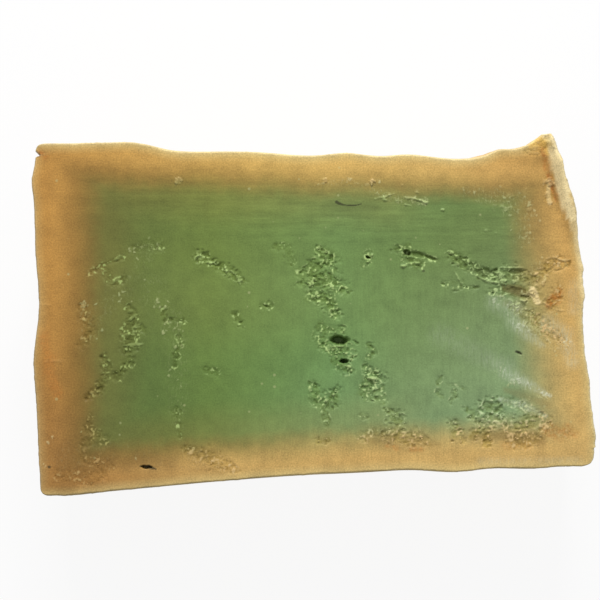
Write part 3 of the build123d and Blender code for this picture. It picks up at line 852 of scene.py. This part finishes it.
for i, home in enumerate(homes):
    size = dice.uniform(*CRUMB_SIZES) * dice.uniform(*CRUMB_STRETCH, 3) * CRUMB_SHAPE
    shape = lump_points * dice.uniform(*CRUMB_CORNERS, (len(lump_points), 1)) * size
    shift_x = dice.uniform(-CRUMB_SHIFT, CRUMB_SHIFT)
    shift_y = dice.uniform(-CRUMB_SHIFT, CRUMB_SHIFT)
    crumb_points.append(shape + (home + np.array((shift_x, shift_y, size[2] * CRUMB_LIFT))))
    crumb_faces.append(lump_faces + i * len(lump_points))
    tints.append(np.full(len(lump_points), dice.uniform(*CRUMB_TINTS)))
crumb_mesh = bpy.data.meshes.new("soap_crumbs")
crumb_mesh.from_pydata((np.concatenate(crumb_points) * MM).tolist(), [], np.concatenate(crumb_faces).tolist())
crumbs = bpy.data.objects.new("soap_crumbs", crumb_mesh)
scene.collection.objects.link(crumbs)
attribute(crumb_mesh, "torn", np.ones(len(crumb_mesh.vertices)))
attribute(crumb_mesh, "bits", np.concatenate(tints))

# Soap: colours, as they are seen in plain light, with painted light and shade where noted

GREENS = ((0.1, (94, 103, 51)), (0.32, (107, 126, 61)), (0.55, (109, 137, 78)), (0.85, (104, 123, 69)))
TANS = ((0.0, (178, 130, 63)), (0.15, (189, 146, 75)), (0.45, (211, 174, 97)), (1.0, (199, 164, 97)))
TONES = {
    "dark tan": (149, 104, 50),
    "upper right tan": (190, 147, 80),
    "low tan": (196, 162, 99),
    "dark green": (87, 101, 49),
    "cooler": (240, 254, 254),
    # Milky green: painted sheen towards the lower right, partly a milky haze on the soap; likewise the edge
    # colour there
    "milky_sheen": (136, 162, 118),
    "murk": (236, 226, 220),
    "haze": (170, 126, 62),
    "dusk": (247, 247, 242),
    "band": (210, 192, 130),
    "rim": (216, 204, 160),
    "pale": (238, 218, 166),
    "yellow": (228, 186, 98),
    "stain": (120, 90, 44),
    # Rust colour, also used for the lip's painted shadow in the crease at its foot
    "rust_and_crease_shadow": (176, 110, 46),
    # Whitish streak colours: partly dried soap, partly painted sheen
    "dried_and_sheen": (196, 206, 180),
    "fleck on green": (182, 190, 134),
    "fleck on tan": (222, 204, 148),
    "dried fleck": (224, 228, 206),
    "dot": (188, 190, 136),
    "edge on green": (178, 202, 130),
    "milky edge": (190, 202, 162),
    "edge on tan": (210, 180, 124),
    "edge at the left": (232, 226, 210),
    "edge at the lower left": (172, 138, 82),
    # Floor, sunken and foot of an edge darken the torn places as painted shade; the floors are partly their
    # own darker colour too
    "floor": (212, 212, 144),
    "sunken": (214, 208, 160),
    "foot of an edge": (178, 172, 112),
    "pebble": (176, 168, 112),
    # Painted shade inside the holes
    "hollow": (130, 132, 80),
    "dark": (46, 46, 28),
    "shade": (96, 84, 46),
}

# How far each point lies into the dried rind: way out of the green, where the change is halfway, its width

RIND = [
    ((-1, 0, 0), 33.2, 8.2),
    ((0.035, 1, 0), 18.9, 6.2),
    ((0.9975, 0.07, 0), 31.8, 9.6),
    ((0.07, -0.9975, 0), 18.1, 5.8),
    ((0, 0, -1), -4.0, 6.0),
]
RIND_CORNERS = 0.2
HALF = (0.5, 0.5, 0.5)
DRIFT = 1.8
FINE_DRIFT = 0.9
SHINE_LEAST = 0.45
SHINE_MORE = 0.14
TORN_ROUGHER = 0.2
SPECULAR = 0.22
BUMP = 0.9
BUMP_HEIGHT = 0.3
DOTS_PER_MM = 0.55
RELIEF = {"lines": 0.08, "grain": 0.08, "flecks": 0.12, "pebbles": -0.25}

# Ways across the face, then scales of x, y and z that draw out lines, streaks and flecks

TO_UPPER_RIGHT = (0.8, 0.6, 0)
TO_UPPER_RIGHT_STEEPER = (0.75, 0.66, 0)
TO_LOWER_RIGHT = (0.6, -0.8, 0)
TO_UPPER_LEFT = (-0.5, 0.87, 0)
NEARLY_UP = (0.15, 0.99, 0)
UPRIGHT = (1.0, 0.12, 0.12)
LEVEL = (0.1, 1.0, 0.1)
STREAKS = (1.0, 0.2, 0.2)
FLECKS = (1.0, 0.55, 1.0)

soap = bpy.data.materials.new("soap")
soap.use_nodes = True
soap_nodes = soap.node_tree.nodes
shader = soap_nodes["Principled BSDF"]


def feed(socket, value):
    if isinstance(value, bpy.types.NodeSocket):
        socket.id_data.links.new(value, socket)
    else:
        socket.default_value = value


def add(kind, nodes=soap_nodes):
    return nodes.new("ShaderNode" + kind)


def maths(kind, a, b=0.0, c=0.0, nodes=soap_nodes):
    node = add("Math", nodes)
    node.operation = kind
    for socket, value in zip(node.inputs, (a, b, c)):
        feed(socket, value)
    return node.outputs[0]


def times(a, b):
    return maths("MULTIPLY", a, b)


def times_plus(a, b, c):
    return maths("MULTIPLY_ADD", a, b, c)


def off_half(value):
    return maths("SUBTRACT", value, 0.5)


def vector(kind, a, b=(0, 0, 0), scale=1.0):
    node = add("VectorMath")
    node.operation = kind
    feed(node.inputs[0], a)
    feed(node.inputs[1], b)
    node.inputs[3].default_value = scale
    return node.outputs[1] if kind == "DOT_PRODUCT" else node.outputs[0]


def spread(value, low, high, to_low=0.0, to_high=1.0):
    node = add("MapRange")
    node.interpolation_type = "SMOOTHSTEP"
    for socket, setting in zip(node.inputs, (value, low, high, to_low, to_high)):
        feed(socket, setting)
    return node.outputs[0]


def blend(share, a, b, kind="MIX"):
    node = add("Mix")
    node.data_type = "RGBA"
    node.blend_type = kind
    feed(node.inputs["Factor"], share)
    feed(node.inputs[6], a)
    feed(node.inputs[7], b)
    return node.outputs[2]


def linear(tone):
    parts = [c / 255 for c in tone]
    return tuple(c / 12.92 if c <= 0.04045 else ((c + 0.055) / 1.055) ** 2.4 for c in parts) + (1.0,)


def colour(name):
    return linear(TONES[name])


def ramp(value, stops):
    node = add("ValToRGB")
    feed(node.inputs[0], value)
    elements = node.color_ramp.elements
    while len(elements) < len(stops):
        elements.new(0.5)
    for element, (at, tone) in zip(elements, stops):
        element.position = at
        element.color = linear(tone)
    return node.outputs["Color"]


def cloud(at, scale, detail=2.0, rough=0.5, output="Fac"):
    node = add("TexNoise")
    for name, value in (("Vector", at), ("Scale", scale), ("Detail", detail), ("Roughness", rough)):
        feed(node.inputs[name], value)
    return node.outputs[output]


def painted(name, share=1.0):
    node = add("Attribute")
    node.attribute_name = name
    return node.outputs["Fac"] if share == 1.0 else times(node.outputs["Fac"], share)


def darker(share, paint, name):
    return blend(share, paint, blend(1.0, paint, colour(name), "MULTIPLY"))


here = vector("SCALE", add("TexCoord").outputs["Object"], scale=1 / MM)
drift = vector("SUBTRACT", cloud(here, 0.12, 3, output="Color"), HALF)
fine_drift = vector("SUBTRACT", cloud(here, 0.9, 3, output="Color"), HALF)
hazy = vector("ADD", here, vector("SCALE", drift, scale=DRIFT))
hazy = vector("ADD", hazy, vector("SCALE", fine_drift, scale=FINE_DRIFT))
separate = add("SeparateXYZ")
feed(separate.inputs[0], hazy)
hazy_x, hazy_y, hazy_z = separate.outputs


def towards(way, low, high, to_low=0.0, to_high=1.0):
    return spread(vector("DOT_PRODUCT", hazy, way), low, high, to_low, to_high)


rind = None
for way, halfway, width in RIND:
    part = times_plus(vector("DOT_PRODUCT", hazy, way), 1 / width, 0.5 - halfway / width)
    rind = part if rind is None else maths("SMOOTH_MAX", rind, part, RIND_CORNERS)

# Green middle and tan rind, each paler or darker towards some corners, and the murky band between them

# The greens grow darker towards the left and lower left, and the tans towards the lower left: partly the
# soap's own colour, partly painted shade
along = times_plus(hazy_x, 1 / LENGTH, 0.5)
green = ramp(along, GREENS)
tan = ramp(along, TANS)
darkest = towards(TO_UPPER_RIGHT_STEEPER, -42, -22, 0.85, 0.0)
tan = blend(darkest, tan, colour("dark tan"))
tan = blend(towards(TO_UPPER_RIGHT, 22, 36, 0.0, 0.75), tan, colour("upper right tan"))
low_tan = blend(darkest, colour("low tan"), colour("dark tan"))
tan = blend(spread(hazy_y, -22, -10, 0.7, 0.0), tan, low_tan)
green = blend(towards(TO_UPPER_RIGHT, -34, -10, 0.5, 0.0), green, colour("dark green"))
green = darker(times(spread(hazy_y, 2, -8), spread(hazy_x, 14, 2)), green, "cooler")
# Paler, bluish green towards the lower right: painted sheen, partly a milky haze on the soap
milky_sheen = towards(TO_LOWER_RIGHT, 0, 36, 0.0, 0.85)
green = blend(milky_sheen, green, colour("milky_sheen"))
paint = blend(spread(rind, 0.0, 1.0), green, tan)
murk = times(spread(rind, 0.0, 0.42), spread(rind, 0.95, 0.5))
paint = darker(times(murk, towards(TO_UPPER_LEFT, -16, -4, 0.3, 1.0)), paint, "murk")
hazed = times(spread(rind, -0.8, 0.2, 0.0, 0.14), spread(hazy_x, 18, 8))
paint = blend(hazed, paint, colour("haze"))
paint = darker(times(spread(hazy_y, 5, 9), spread(rind, 0.5, 0.0)), paint, "dusk")
# On the lip, the pale and yellow are partly painted light
for name, share in (("band", 0.5), ("rim", 0.6), ("pale", 0.85), ("yellow", 0.7), ("stain", 0.45)):
    paint = blend(painted(name, share), paint, colour(name))
# The rusty share also paints the lip's shadow in the crease at its foot
rusty = times(painted("orange"), spread(cloud(here, 1.8, 3), 0.3, 0.65, 0.25, 0.85))
paint = blend(rusty, paint, colour("rust_and_crease_shadow"))

# Knife lines, upright below and level above, and mottling, which is fainter on the plain sides

drag = vector("MULTIPLY", here, UPRIGHT)
lines = off_half(cloud(drag, 2.6, 3, 0.6))
lines = times_plus(lines, spread(hazy_x, -18, 8, 0.25, 1.0), 0.5)
level_lines = off_half(cloud(vector("MULTIPLY", here, LEVEL), 1.2, 4, 0.6))
level_lines = times(level_lines, spread(rind, 0.1, 0.8, 2.2, 0.9))
lines = blend(towards(NEARLY_UP, 6, 13), lines, maths("ADD", level_lines, 0.5))
calm = spread(hazy_z, 25, 28, 0.3, 1.0)
mottle = times(off_half(cloud(here, 0.45, 5, 0.6)), calm)
patchy = times_plus(mottle, 0.6, times_plus(lines, 0.3, 0.85))
gritty = times(spread(rind, 0.1, 0.8, 0.6, 0.95), calm)
patchy = times_plus(off_half(cloud(here, 4.5, 2, 0.6)), gritty, patchy)
paint = blend(1.0, paint, patchy, "MULTIPLY")

# Whitish streaks, partly dried soap and partly painted sheen, then flecks and dots

streaky = cloud(vector("MULTIPLY", here, STREAKS), 4.0, 3, 0.65)
streaky = times(painted("dried_and_sheen"), spread(streaky, 0.36, 0.66, 0.12, 0.5))
paint = blend(streaky, paint, colour("dried_and_sheen"))
flecks = spread(cloud(vector("MULTIPLY", here, FLECKS), 2.9, 3, 0.65), 0.5, 0.66)
flecks = times(flecks, spread(cloud(here, 0.7, 2), 0.36, 0.58))
flecks = times(painted("speckled"), flecks)
whitish = blend(spread(rind, 0.2, 0.8), colour("fleck on green"), colour("fleck on tan"))
whitish = blend(painted("dried_and_sheen"), whitish, colour("dried fleck"))
paint = blend(times(flecks, 0.5), paint, whitish)
paint = blend(painted("flake", 0.55), paint, whitish)
dots = add("TexVoronoi")
feed(dots.inputs["Vector"], here)
feed(dots.inputs["Scale"], DOTS_PER_MM)
chosen = add("SeparateColor")
feed(chosen.inputs[0], dots.outputs["Color"])
dot_size = times(spread(chosen.outputs[0], 0.55, 1.0), 0.16)
dotted = spread(dots.outputs["Distance"], dot_size, times(dot_size, 0.4), 0.0, 0.35)
paint = blend(dotted, paint, colour("dot"))

# Torn places: dark floors, pale broken edges and grains. The dark in the floors, the sunken chips, the feet
# of edges and the hollows is painted shade, with the floors partly their own darker colour; the pale broken
# edges and crumbs are partly their own dry colour, partly painted highlight

torn_in = painted("torn")
pebbles = cloud(here, 3.6)
crest = painted("crest")
# Pale edge colour: partly the dry crumbs' own colour, partly painted highlight; paler and bluish in the
# painted sheen
dry_and_lit_edge = blend(milky_sheen, colour("edge on green"), colour("milky edge"))
dry_and_lit_edge = blend(spread(rind, 0.05, 0.6), dry_and_lit_edge, colour("edge on tan"))
dry_and_lit_edge = darker(spread(hazy_x, -32, -8, 1.0, 0.0), dry_and_lit_edge, "edge at the left")
dry_and_lit_edge = blend(times(darkest, 0.75), dry_and_lit_edge, colour("edge at the lower left"))
paint = darker(times(painted("floor"), spread(rind, 0.2, 0.9, 0.32, 0.5)), paint, "floor")
paint = darker(painted("sunken", 0.12), paint, "sunken")
paint = darker(spread(crest, -0.2, -1.0, 0.0, 0.45), paint, "foot of an edge")
paint = darker(times(torn_in, spread(pebbles, 0.46, 0.62, 0.0, 0.14)), paint, "pebble")
paint = blend(spread(crest, 0.08, 0.8, 0.0, 0.84), paint, dry_and_lit_edge)
paint = darker(spread(painted("hollow"), 0.1, 1.0, 0.0, 0.6), paint, "hollow")
paint = blend(painted("bits", 0.6), paint, dry_and_lit_edge)
paint = blend(painted("dark", 0.85), paint, colour("dark"))
paint = blend(painted("shade", 0.6), paint, colour("shade"))
feed(shader.inputs["Base Color"], paint)

# Sheen and relief of the soap

shine = times_plus(cloud(drag, 1.4, 3), SHINE_MORE, SHINE_LEAST)
feed(shader.inputs["Roughness"], times_plus(torn_in, TORN_ROUGHER, shine))
feed(shader.inputs["Specular IOR Level"], SPECULAR)
relief = times_plus(lines, RELIEF["lines"], times(cloud(here, 1.6, 4), RELIEF["grain"]))
relief = times_plus(flecks, RELIEF["flecks"], relief)
relief = times_plus(times(torn_in, pebbles), RELIEF["pebbles"], relief)
bump = add("Bump")
feed(bump.inputs["Strength"], BUMP)
feed(bump.inputs["Distance"], BUMP_HEIGHT * MM)
feed(bump.inputs["Height"], relief)
feed(shader.inputs["Normal"], bump.outputs["Normal"])

for piece in (skin, crumbs):
    piece.data.materials.append(soap)
    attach(piece, "root")
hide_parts("soap_bar")

# Floor, light and camera

SHOWN = 0.9
PAPER = 0.85
SKY = 0.5
FLOOR_SIZE = 6
FLOOR_DROP = 0.2
LAMP_AT = (0, 420, 290)
LAMP_SIZE = 160
LAMP_POWER = 2.5
CLIP_START = 0.01


def background_rays(nodes):
    rays = add("LightPath", nodes).outputs
    seen = maths("MAXIMUM", rays["Is Camera Ray"], rays["Is Glossy Ray"], nodes=nodes)
    return maths("MAXIMUM", seen, rays["Is Transmission Ray"], nodes=nodes)


def paper_material():
    paper = bpy.data.materials.new("paper")
    paper.use_nodes = True
    nodes = paper.node_tree.nodes
    nodes.clear()
    mix = add("MixShader", nodes)
    soft = add("BsdfDiffuse", nodes)
    glow = add("Emission", nodes)
    feed(soft.inputs["Color"], (PAPER, PAPER, PAPER, 1))
    feed(glow.inputs["Strength"], 1.0)
    feed(mix.inputs["Fac"], maths("MULTIPLY", background_rays(nodes), SHOWN, nodes=nodes))
    feed(mix.inputs[1], soft.outputs[0])
    feed(mix.inputs[2], glow.outputs[0])
    feed(add("OutputMaterial", nodes).inputs["Surface"], mix.outputs[0])
    return paper


def studio_world():
    world = bpy.data.worlds.new("studio")
    world.use_nodes = True
    nodes = world.node_tree.nodes
    sky = nodes["Background"]
    feed(sky.inputs["Color"], (1, 1, 1, 1))
    feed(sky.inputs["Strength"], maths("MULTIPLY_ADD", background_rays(nodes), 1 - SKY, SKY, nodes=nodes))
    return world


bpy.ops.mesh.primitive_plane_add(size=FLOOR_SIZE, location=(0, 0, -FLOOR_DROP * MM))
floor = bpy.context.object
floor.name = "floor"
floor.data.materials.append(paper_material())
scene.world = studio_world()

light = bpy.data.lights.new("window", "AREA")
light.size = LAMP_SIZE * MM
light.energy = LAMP_POWER
lamp = bpy.data.objects.new("window", light)
lamp.location = [c * MM for c in LAMP_AT]
lamp.rotation_euler = (-Vector(LAMP_AT)).to_track_quat("-Z", "Y").to_euler()
scene.collection.objects.link(lamp)

camera = bpy.data.cameras.new("camera")
view = bpy.data.objects.new("camera", camera)
centre_x, centre_y = place(IMAGE / 2, IMAGE / 2)
view.location = (centre_x * MM, centre_y * MM, (FACE + CAMERA_HEIGHT) * MM)
camera.sensor_width = SENSOR
camera.lens = SENSOR * CAMERA_HEIGHT / (IMAGE * PIXEL)
camera.clip_start = CLIP_START
scene.collection.objects.link(view)
scene.camera = view
scene.view_settings.view_transform = "Standard"
